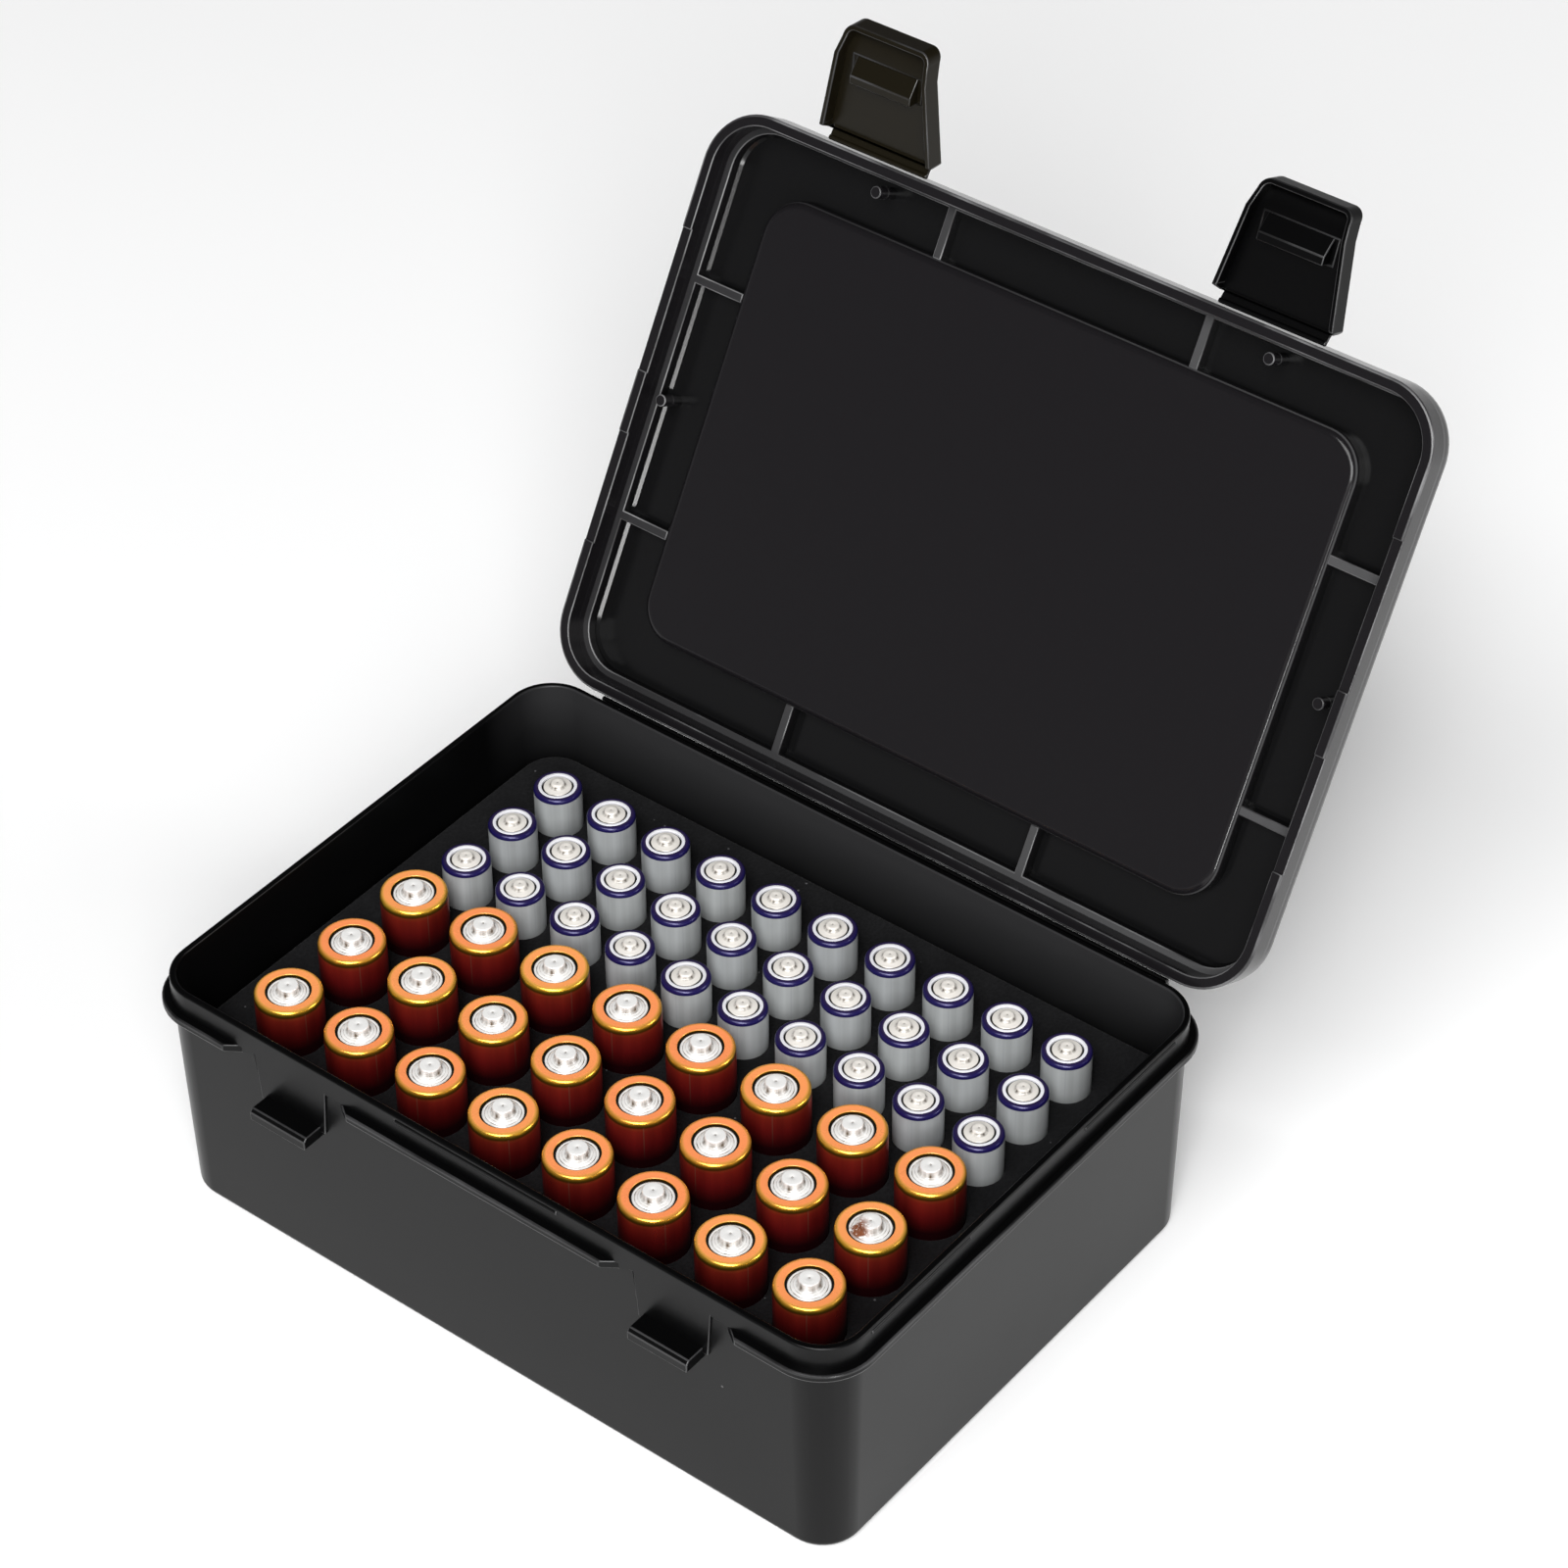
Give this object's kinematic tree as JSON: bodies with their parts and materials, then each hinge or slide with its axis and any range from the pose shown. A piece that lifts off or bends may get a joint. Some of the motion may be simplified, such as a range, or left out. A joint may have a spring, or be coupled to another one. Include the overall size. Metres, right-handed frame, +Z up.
{
  "type": "battery storage case",
  "caption": "Black plastic storage case with a foam insert that holds rows of cylindrical cells, a hinged lid standing open and hinged latches on its front.",
  "frame": {"origin": "middle of the underside of the case, on the plane that it stands on", "axes": "+X along the front to the right, +Y from the front to the hinge side, +Z up"},
  "size_m": [0.1804, 0.2124, 0.1937],
  "materials": {
    "case_plastic": "black moulded plastic with a soft gloss",
    "foam": "black closed-cell foam with a fine grain",
    "large_cell_sleeve": "metallic copper and dark red sleeve on a steel can",
    "small_cell_sleeve": "satin grey and dark blue sleeve on a steel can"
  },
  "bodies": {
    "case": {"case_base": "case_plastic", "foam_insert": "foam", "aa_cell_r1_c1": "large_cell_sleeve", "aa_cell_r1_c2": "large_cell_sleeve", "aa_cell_r1_c3": "large_cell_sleeve", "aa_cell_r1_c4": "large_cell_sleeve", "aa_cell_r1_c5": "large_cell_sleeve", "aa_cell_r1_c6": "large_cell_sleeve", "aa_cell_r1_c7": "large_cell_sleeve", "aa_cell_r1_c8": "large_cell_sleeve", "aa_cell_r2_c1": "large_cell_sleeve", "aa_cell_r2_c2": "large_cell_sleeve", "aa_cell_r2_c3": "large_cell_sleeve", "aa_cell_r2_c4": "large_cell_sleeve", "aa_cell_r2_c5": "large_cell_sleeve", "aa_cell_r2_c6": "large_cell_sleeve", "aa_cell_r2_c7": "large_cell_sleeve", "aa_cell_r2_c8": "large_cell_sleeve", "aa_cell_r3_c1": "large_cell_sleeve", "aa_cell_r3_c2": "large_cell_sleeve", "aa_cell_r3_c3": "large_cell_sleeve", "aa_cell_r3_c4": "large_cell_sleeve", "aa_cell_r3_c5": "large_cell_sleeve", "aa_cell_r3_c6": "large_cell_sleeve", "aa_cell_r3_c7": "large_cell_sleeve", "aa_cell_r3_c8": "large_cell_sleeve", "aaa_cell_r1_c1": "small_cell_sleeve", "aaa_cell_r1_c2": "small_cell_sleeve", "aaa_cell_r1_c3": "small_cell_sleeve", "aaa_cell_r1_c4": "small_cell_sleeve", "aaa_cell_r1_c5": "small_cell_sleeve", "aaa_cell_r1_c6": "small_cell_sleeve", "aaa_cell_r1_c7": "small_cell_sleeve", "aaa_cell_r1_c8": "small_cell_sleeve", "aaa_cell_r1_c9": "small_cell_sleeve", "aaa_cell_r1_c10": "small_cell_sleeve", "aaa_cell_r2_c1": "small_cell_sleeve", "aaa_cell_r2_c2": "small_cell_sleeve", "aaa_cell_r2_c3": "small_cell_sleeve", "aaa_cell_r2_c4": "small_cell_sleeve", "aaa_cell_r2_c5": "small_cell_sleeve", "aaa_cell_r2_c6": "small_cell_sleeve", "aaa_cell_r2_c7": "small_cell_sleeve", "aaa_cell_r2_c8": "small_cell_sleeve", "aaa_cell_r2_c9": "small_cell_sleeve", "aaa_cell_r2_c10": "small_cell_sleeve", "aaa_cell_r3_c1": "small_cell_sleeve", "aaa_cell_r3_c2": "small_cell_sleeve", "aaa_cell_r3_c3": "small_cell_sleeve", "aaa_cell_r3_c4": "small_cell_sleeve", "aaa_cell_r3_c5": "small_cell_sleeve", "aaa_cell_r3_c6": "small_cell_sleeve", "aaa_cell_r3_c7": "small_cell_sleeve", "aaa_cell_r3_c8": "small_cell_sleeve", "aaa_cell_r3_c9": "small_cell_sleeve", "aaa_cell_r3_c10": "small_cell_sleeve"},
    "lid": {"lid": "case_plastic"},
    "left_latch": {"latch_left": "case_plastic"},
    "right_latch": {"latch_right": "case_plastic"}
  },
  "joints": [
    {"name": "lid_hinge", "type": "hinge", "parent": "case", "child": "lid", "pos_m": [0, 0.06565, 0.0534], "axis": [1, 0, 0], "range_deg": [0, 120]},
    {"name": "left_latch_hinge", "type": "hinge", "parent": "lid", "child": "left_latch", "pos_m": [-0.05, 0.1313, 0.16711], "axis": [1, 0, 0], "range_deg": [-54, 66]},
    {"name": "right_latch_hinge", "type": "hinge", "parent": "lid", "child": "right_latch", "pos_m": [0.0476, 0.1313, 0.16711], "axis": [1, 0, 0], "range_deg": [-38, 82]}
  ]
}
